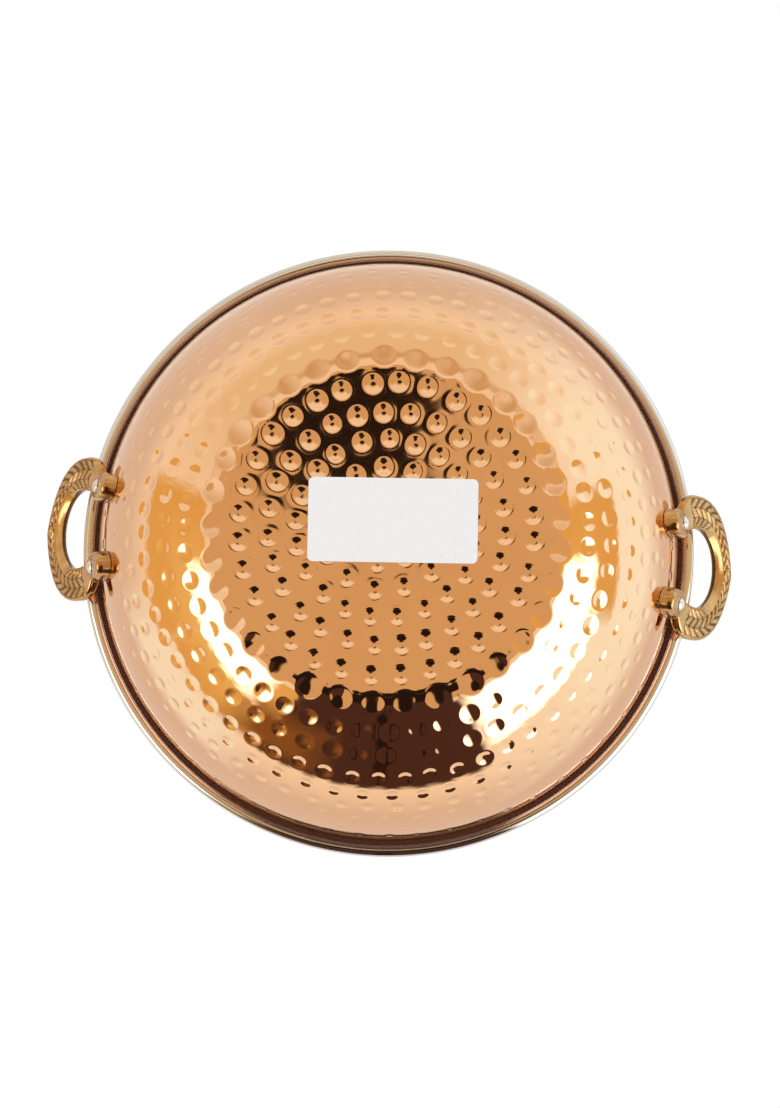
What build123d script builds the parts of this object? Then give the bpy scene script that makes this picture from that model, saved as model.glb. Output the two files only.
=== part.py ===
"""A hammered copper kadai with a stainless inner bowl and two riveted brass ring handles.

Millimetres, +Z up, origin at the centre of the base. The handles point along -X and +X.
"""
import os
from math import acos, asin, atan2, cos, degrees, hypot, radians, sin, tan

from build123d import *

os.makedirs("parts", exist_ok=True)

# Bowl, outside of the copper
rim_diameter = 188.2
rim_height = 60.0
base_flat_diameter = 96.0
corner_radius = 14.0
corner_angle = 30.0
copper_thickness = 1.0
steel_thickness = 0.8
layer_gap = 0.15

# Rolled steel lip
lip_overhang = 4.6
lip_roll_diameter = 3.6
lip_roll_angle = 262.0
shell_edge_drop = 3.0

# Hammer marks on the flat base, in rings about the centre
base_mark_diameter = 6.2
base_mark_depth = 0.42
base_first_ring_radius = 10.3
base_ring_pitch = 8.3
base_ring_counts = (8, 13, 21, 27, 32)

# Hammer marks on the rounded corner: the largest of all
corner_mark_diameter = 7.8
corner_mark_depth = 0.55
corner_mark_angle_share = 0.5
corner_mark_count = 33

# Hammer marks on the wall: where each ring lies on the wall's arc, how many, and how large
wall_mark_diameter = 5.7
wall_mark_depth = 0.34
wall_ring_shares = (0.082, 0.206, 0.34, 0.451, 0.546, 0.623)
wall_ring_counts = (46, 50, 57, 56, 60, 55)
wall_mark_size_shares = (1.0, 1.0, 0.95, 0.81, 0.7, 0.63)
wall_mark_depth_shares = (1.0, 0.9, 0.7, 0.5, 0.4, 0.32)
mark_overrun = 0.4

# Handle casting: a flat ring that rises outwards from two feet on the wall
handle_slope = 56.0
handle_thickness = 3.5
handle_reach = 13.0
handle_rise = 8.2
bowl_clearance = 0.1
lip_clearance = 0.3

# Ring outline, in its own plane: half widths, and drops below the apex
brow_half_width = 14.4
brow_drop = 5.7
side_half_width = 22.2
side_drop = 20.5
hip_drop = 23.5
leg_drop = 31.5
leg_inset = 0.7
hole_half_width = 12.0
hole_top_drop = 8.2
apex_radius = 12.0
leg_corner_radius = 1.2
ring_edge_radius = 0.8

# Feet and their rivets
rivet_spacing = 24.0
rivet_height = 42.5
foot_width = 9.0
foot_thickness = 4.0
foot_tail = 4.6
foot_rise = 7.0
foot_edge_radius = 1.0
shank_diameter = 3.2
rivet_hole_clearance = 0.05
head_diameter = 7.0
head_thickness = 1.7
peen_diameter = 4.4
peen_thickness = 1.2
rivet_seat_gap = 0.05
overrun = 1.0

# Bowl outline, worked out: a flat, a corner arc and one long wall arc, all tangent
base_flat_radius = base_flat_diameter / 2
shell_top_radius = rim_diameter / 2 - lip_overhang
shell_height = rim_height - shell_edge_drop
wall_start_radius = base_flat_radius + corner_radius * sin(radians(corner_angle))
wall_start_height = corner_radius - corner_radius * cos(radians(corner_angle))
wall_run = shell_top_radius - wall_start_radius
wall_climb = shell_height - wall_start_height
chord_angle = degrees(atan2(wall_climb, wall_run))
wall_end_angle = 2 * chord_angle - corner_angle
wall_radius = hypot(wall_run, wall_climb) / (2 * sin(radians(chord_angle - corner_angle)))
wall_centre_radius = wall_start_radius - wall_radius * sin(radians(corner_angle))
wall_centre_height = wall_start_height + wall_radius * cos(radians(corner_angle))


def wall_point(angle, inset):
    """A point (radius, height) on the wall where it slopes at angle, inset from the copper's outside."""
    reach = wall_radius - inset
    radius = wall_centre_radius + reach * sin(radians(angle))
    height = wall_centre_height - reach * cos(radians(angle))
    return radius, height


def wall_pull(inset):
    """How far the wall curve's two handles reach, so that it keeps to its arc."""
    turn = radians(wall_end_angle - corner_angle)
    return (wall_radius - inset) * 4 / 3 * tan(turn / 4)


def corner_point(angle, inset):
    """A point (radius, height) on the corner arc, inset from the copper's outside."""
    reach = corner_radius - inset
    radius = base_flat_radius + reach * sin(radians(angle))
    height = corner_radius - reach * cos(radians(angle))
    return radius, height


def bowl_lines(inset):
    """Draw the flat, the corner and the long wall curve, from the axis up, at an inset."""
    flat = Line((0, inset), (base_flat_radius, inset))
    corner = TangentArc(flat @ 1, corner_point(corner_angle, inset), tangent=flat % 1)
    low = Vector(wall_point(corner_angle, inset))
    high = Vector(wall_point(wall_end_angle, inset))
    low_pull = Vector(cos(radians(corner_angle)), sin(radians(corner_angle))) * wall_pull(inset)
    high_pull = Vector(cos(radians(wall_end_angle)), sin(radians(wall_end_angle))) * wall_pull(inset)
    return Bezier(corner @ 1, low + low_pull, high - high_pull, high)


# Rivet places: on the wall, square to it, two on each side
rivet_wall_angle = degrees(acos((wall_centre_height - rivet_height) / wall_radius))
rivet_wall_radius = wall_point(rivet_wall_angle, 0)[0]
rivet_azimuth = degrees(asin(rivet_spacing / 2 / rivet_wall_radius))


def wall_plane(azimuth, angle, outset):
    """The plane square to the wall at an azimuth and slope, its x across and its z outwards."""
    radius, height = wall_point(angle, -outset)
    across = (-sin(radians(azimuth)), cos(radians(azimuth)), 0)
    slope = radians(angle)
    outwards = (sin(slope) * cos(radians(azimuth)), sin(slope) * sin(radians(azimuth)), -cos(slope))
    place = (radius * cos(radians(azimuth)), radius * sin(radians(azimuth)), height)
    return Plane(origin=place, x_dir=across, z_dir=outwards)


right_azimuths = (-rivet_azimuth, rivet_azimuth)
left_azimuths = (180 - rivet_azimuth, 180 + rivet_azimuth)
through_both_walls = copper_thickness + layer_gap + steel_thickness
hole_radius = shank_diameter / 2 + rivet_hole_clearance


def drill_rivet_holes(azimuths):
    """Drill the rivet holes through both walls of the bowl, from the outside."""
    for azimuth in azimuths:
        with Locations(wall_plane(azimuth, rivet_wall_angle, overrun)):
            Hole(hole_radius, depth=2 * overrun + through_both_walls)


def hammer_mark(diameter, depth):
    """The tool that presses one round hollow: its tip at the origin, opening along +X."""
    rim = diameter / 2
    sphere_radius = (rim * rim + depth * depth) / (2 * depth)
    mouth = depth + mark_overrun
    mouth_radius = (sphere_radius ** 2 - (sphere_radius - mouth) ** 2) ** 0.5
    with BuildPart(mode=Mode.PRIVATE) as tool:
        with BuildSketch(Plane.XY):
            with BuildLine():
                axis_line = Line((mouth, 0), (0, 0))
                bowl_arc = TangentArc(axis_line @ 1, (mouth, mouth_radius), tangent=(0, 1))
                Line(bowl_arc @ 1, axis_line @ 0)
            make_face()
        revolve(axis=Axis.X)
    return tool.part


def mark_ring(radius, height, slope, count, diameter, depth):
    """Copies of one hammer mark round the axis, pressed in where the surface slopes at slope."""
    tool = hammer_mark(diameter, depth)
    inwards = Vector(-sin(radians(slope)), 0, cos(radians(slope)))
    tip = Vector(radius, 0, height) + inwards * depth
    place = Plane(origin=tip, x_dir=-inwards, z_dir=(0, 1, 0)).location
    turn = 360 / count
    first = turn / 2
    return [Rot(0, 0, first + turn * step) * place * tool for step in range(count)]


def all_marks():
    """Every hammer mark: base rings, the corner ring and the wall rings."""
    marks = []
    for ring, count in enumerate(base_ring_counts):
        radius = base_first_ring_radius + ring * base_ring_pitch
        marks += mark_ring(radius, 0, 0, count, base_mark_diameter, base_mark_depth)
    slope = corner_angle * corner_mark_angle_share
    radius, height = corner_point(slope, 0)
    marks += mark_ring(radius, height, slope, corner_mark_count, corner_mark_diameter, corner_mark_depth)
    rings = zip(wall_ring_shares, wall_ring_counts, wall_mark_size_shares, wall_mark_depth_shares)
    for share, count, size_share, depth_share in rings:
        slope = corner_angle + (wall_end_angle - corner_angle) * share
        radius, height = wall_point(slope, 0)
        diameter = wall_mark_diameter * size_share
        marks += mark_ring(radius, height, slope, count, diameter, wall_mark_depth * depth_share)
    return marks


# Copper outer shell, hammered all over
with BuildPart() as outer_shell:
    with BuildSketch(Plane.XZ):
        with BuildLine():
            outside = bowl_lines(0)
            inside = bowl_lines(copper_thickness)
            Line(outside @ 1, inside @ 1)
            Line((0, 0), (0, copper_thickness))
        make_face()
    revolve(axis=Axis.Z)
    add(all_marks(), mode=Mode.SUBTRACT)
    drill_rivet_holes(right_azimuths + left_azimuths)

# Stainless inner bowl: the sheet runs up inside the copper, over its edge and rolls under
steel_outside = copper_thickness + layer_gap
steel_inside = steel_outside + steel_thickness
steel_end = wall_point(wall_end_angle, steel_inside)
neck_radius = (rim_height - steel_end[1]) / (1 - cos(radians(wall_end_angle)))
lip_roll_radius = lip_roll_diameter / 2
roll_centre_radius = rim_diameter / 2 - lip_roll_radius
neck_end = (steel_end[0] + neck_radius * sin(radians(wall_end_angle)), rim_height)

under_flange_height = rim_height - steel_thickness

with BuildPart() as inner_bowl:
    with BuildSketch(Plane.XZ):
        with BuildLine():
            food_side = bowl_lines(steel_inside)
            neck = TangentArc(food_side @ 1, neck_end, tangent=food_side % 1)
            flange = Line(neck @ 1, (roll_centre_radius, rim_height))
            roll = JernArc(flange @ 1, flange % 1, lip_roll_radius, -lip_roll_angle)
            pan_side = bowl_lines(steel_outside)
            under_neck = TangentArc(pan_side @ 1, (neck_end[0], under_flange_height), tangent=pan_side % 1)
            under_flange = Line(under_neck @ 1, (roll_centre_radius, under_flange_height))
            under_roll = JernArc(
                under_flange @ 1, under_flange % 1, lip_roll_radius - steel_thickness, -lip_roll_angle
            )
            Line(roll @ 1, under_roll @ 1)
            Line((0, steel_inside), (0, steel_outside))
        make_face()
    revolve(axis=Axis.Z)
    drill_rivet_holes(right_azimuths + left_azimuths)

# Room that a handle leaves for the bowl: the copper's outside and the rolled lip, each with clearance
lip_room_radius = lip_roll_radius + lip_clearance
roll_centre_height = rim_height - lip_roll_radius
skin_top_radius = wall_point(wall_end_angle, -bowl_clearance)[0]

with BuildPart() as bowl_room:
    with BuildSketch(Plane.XZ):
        with BuildLine():
            skin = bowl_lines(-bowl_clearance)
            Polyline(skin @ 1, (skin_top_radius, rim_height), (0, rim_height), (0, -bowl_clearance))
        make_face()
        with Locations((roll_centre_radius, roll_centre_height)):
            Circle(lip_room_radius)
        with Locations((0, roll_centre_height)):
            Rectangle(roll_centre_radius, 2 * lip_room_radius, align=(Align.MIN, Align.CENTER))
    revolve(axis=Axis.Z)

# Handle casting: a ring outline rising outwards, joined to two feet on the wall
apex = (rim_diameter / 2 + handle_reach, 0, rim_height + handle_rise)
ring_slope = radians(handle_slope)
ring_plane = Plane(origin=apex, x_dir=(0, 1, 0), z_dir=(sin(ring_slope), 0, -cos(ring_slope)))
foot_half_width = foot_width / 2
leg_outer = rivet_spacing / 2 + foot_half_width - leg_inset
leg_inner = rivet_spacing / 2 - foot_half_width + leg_inset


def foot(azimuth):
    """One polished foot: a rounded tongue standing on the wall, its outer edge eased."""
    foot_plane = wall_plane(azimuth, rivet_wall_angle, 0)
    with BuildPart(mode=Mode.PRIVATE) as tongue:
        with BuildSketch(foot_plane.offset(-overrun)):
            with BuildLine():
                left_side = Line((-foot_half_width, foot_rise), (-foot_half_width, -foot_tail))
                toe = TangentArc(left_side @ 1, (foot_half_width, -foot_tail), tangent=left_side % 1)
                right_side = Line(toe @ 1, (foot_half_width, foot_rise))
                Line(right_side @ 1, left_side @ 0)
            make_face()
        extrude(amount=overrun + foot_thickness)
        outer_face = tongue.faces().sort_by(Axis(foot_plane.origin, foot_plane.z_dir))[-1]
        fillet(outer_face.edges(), foot_edge_radius)
    return tongue.part


with BuildPart() as right_handle:
    with BuildSketch(ring_plane):
        with BuildLine():
            side = Line((side_half_width, -hip_drop), (side_half_width, -side_drop))
            shoulder = TangentArc(side @ 1, (brow_half_width, -brow_drop), tangent=side % 1)
            TangentArc(shoulder @ 1, (0, 0), tangent=shoulder % 1)
            hip = TangentArc(side @ 0, (leg_outer, -leg_drop), tangent=(0, -1))
            Line(hip @ 1, (leg_inner, -leg_drop))
            crown = JernArc((0, -hole_top_drop), (1, 0), hole_half_width, -90)
            TangentArc(crown @ 1, (leg_inner, -leg_drop), tangent=crown % 1)
            mirror(about=Plane.YZ)
        make_face()
        fillet(vertices().sort_by(Axis.Y)[-1:], apex_radius)
        fillet(vertices().group_by(Axis.Y)[0], leg_corner_radius)
    extrude(amount=-handle_thickness)
    fillet(right_handle.faces().filter_by(Axis(apex, ring_plane.z_dir)).edges(), ring_edge_radius)
    add([foot(azimuth) for azimuth in right_azimuths])
    add(bowl_room.part, mode=Mode.SUBTRACT)
    for azimuth in right_azimuths:
        with Locations(wall_plane(azimuth, rivet_wall_angle, foot_thickness + overrun)):
            Hole(hole_radius, depth=2 * overrun + foot_thickness)

with BuildPart() as left_handle:
    mirror(right_handle.part, about=Plane.YZ)

# Rivets: a domed head inside the bowl, a shank through both walls and the foot, a peened end outside
head_radius = head_diameter / 2
head_sag = head_radius ** 2 / (2 * (wall_radius - steel_inside))
seat_inside = through_both_walls + head_sag + rivet_seat_gap
seat_outside = foot_thickness + rivet_seat_gap

with BuildPart() as rivet:
    with BuildSketch(Plane.XZ):
        with BuildLine():
            head_top = (0, -seat_inside - head_thickness)
            head_dome = TangentArc(head_top, (head_radius, -seat_inside), tangent=(1, 0))
            peen_dome = TangentArc(
                (0, seat_outside + peen_thickness), (peen_diameter / 2, seat_outside), tangent=(1, 0)
            )
            Polyline(
                head_dome @ 1,
                (shank_diameter / 2, -seat_inside),
                (shank_diameter / 2, seat_outside),
                peen_dome @ 1,
            )
            Line(head_dome @ 0, peen_dome @ 0)
        make_face()
    revolve(axis=Axis.Z)


def rivets_at(azimuths):
    """One rivet through the wall at each azimuth."""
    return [wall_plane(azimuth, rivet_wall_angle, 0).location * rivet.part for azimuth in azimuths]


with BuildPart() as right_handle_rivets:
    add(rivets_at(right_azimuths))

with BuildPart() as left_handle_rivets:
    add(rivets_at(left_azimuths))

# Finished pieces
outer_shell.part.label = "outer_shell"
inner_bowl.part.label = "inner_bowl"
left_handle.part.label = "left_handle"
right_handle.part.label = "right_handle"
left_handle_rivets.part.label = "left_handle_rivets"
right_handle_rivets.part.label = "right_handle_rivets"

export_step(outer_shell.part, "parts/outer_shell.step")
export_step(inner_bowl.part, "parts/inner_bowl.step")
export_step(left_handle.part, "parts/left_handle.step")
export_step(right_handle.part, "parts/right_handle.step")
export_step(left_handle_rivets.part, "parts/left_handle_rivets.step")
export_step(right_handle_rivets.part, "parts/right_handle_rivets.step")
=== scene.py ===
import random
from math import acos, asin, atan2, ceil, cos, hypot, pi, radians, sin

import bmesh
import bpy
from mathutils import Matrix, Vector
from mathutils import noise as mathnoise
from mathutils.kdtree import KDTree


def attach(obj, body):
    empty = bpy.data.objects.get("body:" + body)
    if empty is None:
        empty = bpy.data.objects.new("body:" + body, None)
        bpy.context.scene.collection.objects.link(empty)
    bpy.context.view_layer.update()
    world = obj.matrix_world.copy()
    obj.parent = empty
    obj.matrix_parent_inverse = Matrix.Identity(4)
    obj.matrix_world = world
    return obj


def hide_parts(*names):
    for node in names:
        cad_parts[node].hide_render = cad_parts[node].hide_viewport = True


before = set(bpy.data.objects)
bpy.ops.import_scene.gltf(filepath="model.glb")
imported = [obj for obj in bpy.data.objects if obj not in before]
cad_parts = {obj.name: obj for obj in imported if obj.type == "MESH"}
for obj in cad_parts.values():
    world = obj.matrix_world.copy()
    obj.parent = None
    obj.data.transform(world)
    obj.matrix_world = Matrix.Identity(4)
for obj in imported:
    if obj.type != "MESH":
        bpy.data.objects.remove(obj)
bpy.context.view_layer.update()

# The dressed kadai: hammered copper, a steel bowl, two carved brass handles and their rivets.
# Lengths are metres.

MM = 0.001

# Bowl sizes, as in the construction model
rim_radius = 94.1 * MM
rim_height = 60.0 * MM
base_flat_radius = 48.0 * MM
corner_radius = 14.0 * MM
corner_angle = radians(30)
copper_thickness = 1.0 * MM
steel_thickness = 0.8 * MM
layer_gap = 0.15 * MM
shell_top_radius = rim_radius - 4.6 * MM
shell_height = rim_height - 3.0 * MM
lip_roll_radius = 1.8 * MM
lip_roll_turn = radians(262)

# Handle and rivet sizes
handle_slope = radians(56)
handle_thickness = 3.5 * MM
handle_reach = 13.0 * MM
handle_rise = 8.2 * MM
brow = (14.4 * MM, -5.7 * MM)
side_half_width = 22.2 * MM
side_drop = 20.5 * MM
hip_drop = 23.5 * MM
leg_drop = 31.5 * MM
leg_inset = 0.7 * MM
hole_half_width = 12.0 * MM
hole_top_drop = 8.2 * MM
rivet_spacing = 24.0 * MM
rivet_height = 42.5 * MM
foot_half_width = 4.5 * MM
foot_thickness = 4.0 * MM
foot_tail = 4.6 * MM
foot_rise = 7.0 * MM
shank_radius = 1.6 * MM
head_radius = 3.5 * MM
head_thickness = 1.7 * MM
peen_radius = 2.2 * MM
peen_thickness = 1.2 * MM
seat_gap = 0.05 * MM
bowl_clearance = 0.1 * MM
lip_clearance = 0.3 * MM

# Where the photograph shows things, in its own 780 by 1108 pixels, and how far the camera was
image_centre = (390.0, 554.0)
image_height = 1108.0
rim_centre_pixel = (388.4, 551.8)
base_centre_pixel = (386.0, 529.5)
label_centre_pixel = (393.0, 521.0)
handle_turn = radians(3.75)
label_turn = radians(1.0)
camera_to_base = 1.150
camera_to_rim = 1.2072
focal_pixels = 3908.0
sensor_size = 36.0
near_clip = 0.05

# Wall arc, worked out as in the construction model
wall_start_radius = base_flat_radius + corner_radius * sin(corner_angle)
wall_start = (wall_start_radius, corner_radius * (1 - cos(corner_angle)))
wall_run = shell_top_radius - wall_start_radius
wall_climb = shell_height - wall_start[1]
chord_angle = atan2(wall_climb, wall_run)
wall_end_angle = 2 * chord_angle - corner_angle
wall_radius = hypot(wall_run, wall_climb) / (2 * sin(chord_angle - corner_angle))
wall_centre_radius = wall_start_radius - wall_radius * sin(corner_angle)
wall_centre = (wall_centre_radius, wall_start[1] + wall_radius * cos(corner_angle))


def wall_point(angle, inset):
    """The point (radius, height) where the wall slopes at angle, inset from the copper's outside."""
    reach = wall_radius - inset
    return wall_centre[0] + reach * sin(angle), wall_centre[1] - reach * cos(angle)


rivet_angle = acos((wall_centre[1] - rivet_height) / wall_radius)
rivet_azimuth = asin(rivet_spacing / 2 / wall_point(rivet_angle, 0)[0])


# Camera: its axes in the object's frame come from where the photograph shows the rim and the base

def pixel_point(pixel, distance):
    """A pixel's point in the camera's frame (right, down, forward) at a distance."""
    return Vector(((pixel[0] - image_centre[0]) * distance / focal_pixels,
                   (pixel[1] - image_centre[1]) * distance / focal_pixels, distance))


def camera_axes():
    """The camera's right, down and forward directions in the object's frame."""
    up_axis = pixel_point(rim_centre_pixel, camera_to_rim)
    up_axis -= pixel_point(base_centre_pixel, camera_to_base)
    up_axis.normalize()
    handle_axis = Vector((cos(handle_turn), sin(handle_turn), 0))
    handle_axis -= up_axis * handle_axis.dot(up_axis)
    handle_axis.normalize()
    side_axis = up_axis.cross(handle_axis)
    rows = (handle_axis, side_axis, up_axis)
    return [Vector([row[k] for row in rows]) for k in range(3)]


camera_right, camera_down, camera_forward = camera_axes()


def make_camera():
    """Place the camera below the object, at the photograph's viewing angle."""
    data = bpy.data.cameras.new("camera")
    data.sensor_width = sensor_size
    data.lens = focal_pixels / image_height * sensor_size
    data.clip_start = near_clip
    camera = bpy.data.objects.new("camera", data)
    bpy.context.scene.collection.objects.link(camera)
    offset = pixel_point(rim_centre_pixel, camera_to_rim)
    place = Vector((0, 0, rim_height))
    place -= camera_right * offset.x + camera_down * offset.y + camera_forward * offset.z
    turn = Matrix((camera_right, -camera_down, -camera_forward)).transposed()
    camera.matrix_world = Matrix.Translation(place) @ turn.to_4x4()
    bpy.context.scene.camera = camera


# Number and mesh helpers

# A radius this small lies on the axis, and a chord this near its heading is a straight line
axis_radius = 1e-7
straight_reach = 1e-9


def clamp(value):
    """The value, kept between 0 and 1."""
    return min(max(value, 0.0), 1.0)


def smooth_step(value):
    """0 below 0, 1 above 1 and a soft climb between."""
    value = clamp(value)
    return value * value * (3 - 2 * value)


def mesh_object(name, points, faces, smooth=True):
    """A new mesh object at the origin."""
    mesh = bpy.data.meshes.new(name)
    mesh.from_pydata([tuple(point) for point in points], [], faces)
    mesh.validate()
    if smooth:
        mesh.shade_smooth()
    else:
        mesh.shade_flat()
    thing = bpy.data.objects.new(name, mesh)
    bpy.context.scene.collection.objects.link(thing)
    return thing


def lathe(name, outline, steps, shift=None):
    """Turn a closed outline of (radius, height) about +Z. Points on the axis become one pole each."""
    points = []
    rows = []
    for row, (radius, height) in enumerate(outline):
        if radius < axis_radius:
            rows.append([len(points)] * steps)
            points.append(Vector((0, 0, height)))
            continue
        rows.append(list(range(len(points), len(points) + steps)))
        for step in range(steps):
            turn = 2 * pi * step / steps
            away = Vector((cos(turn), sin(turn), 0))
            place = away * radius + Vector((0, 0, height))
            points.append(place + shift(row, turn, away) if shift else place)
    faces = []
    for low, high in zip(rows, rows[1:] + rows[:1]):
        for step in range(steps):
            after = (step + 1) % steps
            loop = [low[step], low[after], high[after], high[step]]
            corners = [corner for k, corner in enumerate(loop) if corner != loop[k - 1]]
            if len(corners) > 2:
                faces.append(corners)
    return mesh_object(name, points, faces)


def arc_points(start, heading, end, count):
    """Points along the arc that leaves start at heading and ends at end, and its last heading."""
    start = Vector(start)
    end = Vector(end)
    heading = Vector(heading).normalized()
    chord = end - start
    across = Vector((-heading.y, heading.x))
    reach = chord.dot(across)
    if abs(reach) < straight_reach:
        return [start.lerp(end, k / count) for k in range(count + 1)], heading
    radius = chord.length_squared / (2 * reach)
    turn = 2 * atan2(reach, chord.dot(heading))
    centre = start + across * radius
    out = []
    for k in range(count + 1):
        spin = Matrix.Rotation(turn * k / count, 2)
        out.append(centre + spin @ (start - centre))
    return out, Matrix.Rotation(turn, 2) @ heading


def bowl_outline(inset, rows_flat, rows_corner, rows_wall):
    """Points (radius, height, slope) from the axis to the wall's top, at an inset."""
    out = [(base_flat_radius * k / rows_flat, inset, 0.0) for k in range(rows_flat)]
    for k in range(rows_corner):
        angle = corner_angle * k / rows_corner
        reach = corner_radius - inset
        out.append((base_flat_radius + reach * sin(angle), corner_radius - reach * cos(angle), angle))
    for k in range(rows_wall + 1):
        angle = corner_angle + (wall_end_angle - corner_angle) * k / rows_wall
        radius, height = wall_point(angle, inset)
        out.append((radius, height, angle))
    return out


# Copper shell: every hammer mark is a shallow round hollow in the mesh

# Rings of marks on the base: radius in mm, how many, width in mm
base_rings = ((10.3, 8, 5.6), (18.4, 13, 5.7), (26.6, 21, 5.8), (34.7, 27, 6.0), (43.4, 32, 6.2))
base_mark_depth = 0.34 * MM

# The ring on the corner: share of the corner's arc, how many, width in mm
corner_ring = (0.5, 33, 7.9)
corner_mark_depth = 0.52 * MM

# Rings on the wall: share of the wall's arc, how many, width and depth in mm
wall_rings = (
    (0.082, 47, 5.9, 0.36),
    (0.206, 50, 5.9, 0.33),
    (0.340, 57, 5.6, 0.29),
    (0.451, 56, 5.0, 0.24),
    (0.546, 60, 4.5, 0.20),
    (0.623, 55, 4.1, 0.16),
    (0.762, 58, 3.4, 0.10),
    (0.860, 60, 3.0, 0.07),
)

# How the marks differ: in turn by a share of their spacing, in path by mm, the rest by a factor
mark_seed = 20
mark_turn_spread = 0.07
mark_path_spread = 0.35
mark_width_range = (0.93, 1.07)
mark_depth_range = (0.8, 1.15)

# The marks' section: how soft, and how far the middle stays level on the base and high on the wall
mark_softness = 1.35
base_mark_flat = 0.24
wall_mark_flat = 0.3
high_wall_path = base_flat_radius + 28 * MM

# The copper swells a little round each mark and rests lower elsewhere
rim_rest = 0.014 * MM
rim_rest_width = 4 * MM
rim_reach = 1.5

# Waviness of the beaten sheet, on the base and up the wall
base_wave = 0.022 * MM
wall_wave = 0.05 * MM
wave_climb = 20 * MM
wave_scale = 75.0

# The base's slight dish
base_dish = 0.08 * MM
dish_flat_radius = 31.0 * MM
dish_width = 16.0 * MM

# Rows over flat, corner and wall, and steps round the axis
shell_rows_outside = (96, 16, 130)
shell_rows_inside = (6, 4, 24)
shell_steps = 1120
least_radius = 1e-6


def mark_rings():
    """Every ring of marks as (path length from the axis, count, width, depth)."""
    rings = [(radius * MM, count, width * MM, base_mark_depth) for radius, count, width in base_rings]
    share, count, width = corner_ring
    slope = corner_angle * share
    rings.append((base_flat_radius + corner_radius * slope, count, width * MM, corner_mark_depth))
    corner_length = corner_radius * corner_angle
    for share, count, width, depth in wall_rings:
        slope = corner_angle + (wall_end_angle - corner_angle) * share
        path = base_flat_radius + corner_length + wall_radius * (slope - corner_angle)
        rings.append((path, count, width * MM, depth * MM))
    return rings


def level_share(path, width):
    """How far the middle of a mark stays level, at a path length from the axis."""
    if path > high_wall_path:
        return wall_mark_flat
    return base_mark_flat if path < base_flat_radius - width / 2 else 0.0


def hammer_marks():
    """Every mark as (path length from the axis, azimuth, share that is flat, half width, depth)."""
    rng = random.Random(mark_seed)
    marks = []
    for path, count, width, depth in mark_rings():
        flat = level_share(path, width)
        first = rng.uniform(0, 2 * pi)
        for step in range(count):
            azimuth = first + 2 * pi * (step + rng.uniform(-mark_turn_spread, mark_turn_spread)) / count
            here = path + rng.uniform(-mark_path_spread, mark_path_spread) * MM
            half = width / 2 * rng.uniform(*mark_width_range)
            marks.append((here, azimuth % (2 * pi), flat, half, depth * rng.uniform(*mark_depth_range)))
    return marks


def mark_profile(share, flat):
    """How deep a mark is, from 1 at its middle to 0 at its rim. flat: how far its middle stays level."""
    if flat > 0:
        return 1 - smooth_step((share ** 0.5 - flat) / (1 - flat))
    return max(0.0, 1 - share) ** mark_softness


def press_mark(mark, radius, along, depths, bulges):
    """Press one mark into one row of the grid, which lies at a distance along from its middle."""
    _, azimuth, flat, half, deep = mark
    far = half * rim_reach
    reach = (far * far - along * along) ** 0.5
    span = min(int(ceil(reach / radius / (2 * pi) * shell_steps)) + 1, shell_steps // 2)
    middle = azimuth / (2 * pi) * shell_steps
    for step in range(int(middle) - span, int(middle) + span + 2):
        across = (step - middle) * 2 * pi / shell_steps * radius
        share = (along * along + across * across) / (half * half)
        cell = step % shell_steps
        if share < 1:
            depths[cell] = max(depths[cell], deep * mark_profile(share, flat))
        edge = 1 - abs(share ** 0.5 - 1) / (rim_reach - 1)
        swell = smooth_step(edge) * deep / base_mark_depth
        bulges[cell] = max(bulges[cell], min(swell, 1.0))


def mark_grid(marks, outline, paths):
    """How deep the surface lies at each row and step of the shell's grid."""
    depth = [[0.0] * shell_steps for _ in outline]
    bulge = [[0.0] * shell_steps for _ in outline]
    for mark in marks:
        path, _, _, half, _ = mark
        for row, here in enumerate(paths):
            along = here - path
            if abs(along) < half * rim_reach:
                press_mark(mark, max(outline[row][0], least_radius), along, depth[row], bulge[row])
    for row, cells in enumerate(depth):
        rest = rim_rest * min(1.0, paths[row] / rim_rest_width)
        up_wall = clamp((paths[row] - base_flat_radius) / wave_climb)
        wave_height = base_wave + (wall_wave - base_wave) * up_wall
        dish = base_dish * (1 - smooth_step((paths[row] - dish_flat_radius) / dish_width))
        for cell in range(shell_steps):
            turn = 2 * pi * cell / shell_steps
            place = Vector((outline[row][0] * cos(turn), outline[row][0] * sin(turn), outline[row][1]))
            wave = 0.5 + 0.5 * mathnoise.noise(place * wave_scale)
            cells[cell] += dish + rest * (1 - bulge[row][cell]) + wave_height * wave
    return depth


def make_shell():
    """The hammered copper shell, as one closed skin."""
    outside = bowl_outline(0, *shell_rows_outside)
    inside = bowl_outline(copper_thickness, *shell_rows_inside)
    paths = [0.0]
    for low, high in zip(outside, outside[1:]):
        paths.append(paths[-1] + hypot(high[0] - low[0], high[1] - low[1]))
    depth = mark_grid(hammer_marks(), outside, paths)
    outline = [point[:2] for point in outside + inside[::-1]]

    def press(row, turn, away):
        if row >= len(outside):
            return Vector((0, 0, 0))
        slope = outside[row][2]
        cell = int(round(turn / (2 * pi) * shell_steps)) % shell_steps
        return (away * -sin(slope) + Vector((0, 0, cos(slope)))) * depth[row][cell]

    return lathe("hammered_copper_shell", outline, shell_steps, press)


# Steel bowl: rows over flat, corner and wall, and steps round the axis

steel_outside = copper_thickness + layer_gap
steel_inside = steel_outside + steel_thickness
bowl_rows_inside = (12, 8, 64)
bowl_rows_outside = (12, 8, 48)
bowl_steps = 360

# Points along the neck under the lip and round the lip's roll, outside and inside
neck_points = 12
under_neck_points = 10
roll_points = 40
under_roll_points = 24

# Painted shade and painted copper reflection in the seam between the lip and the copper's edge: where it
# starts and how it grows
seam_start = rim_radius - 2.2 * MM
seam_width = 1.8 * MM
seam_inside = shell_top_radius - 0.8 * MM
seam_top = rim_height - 0.6 * MM


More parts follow.
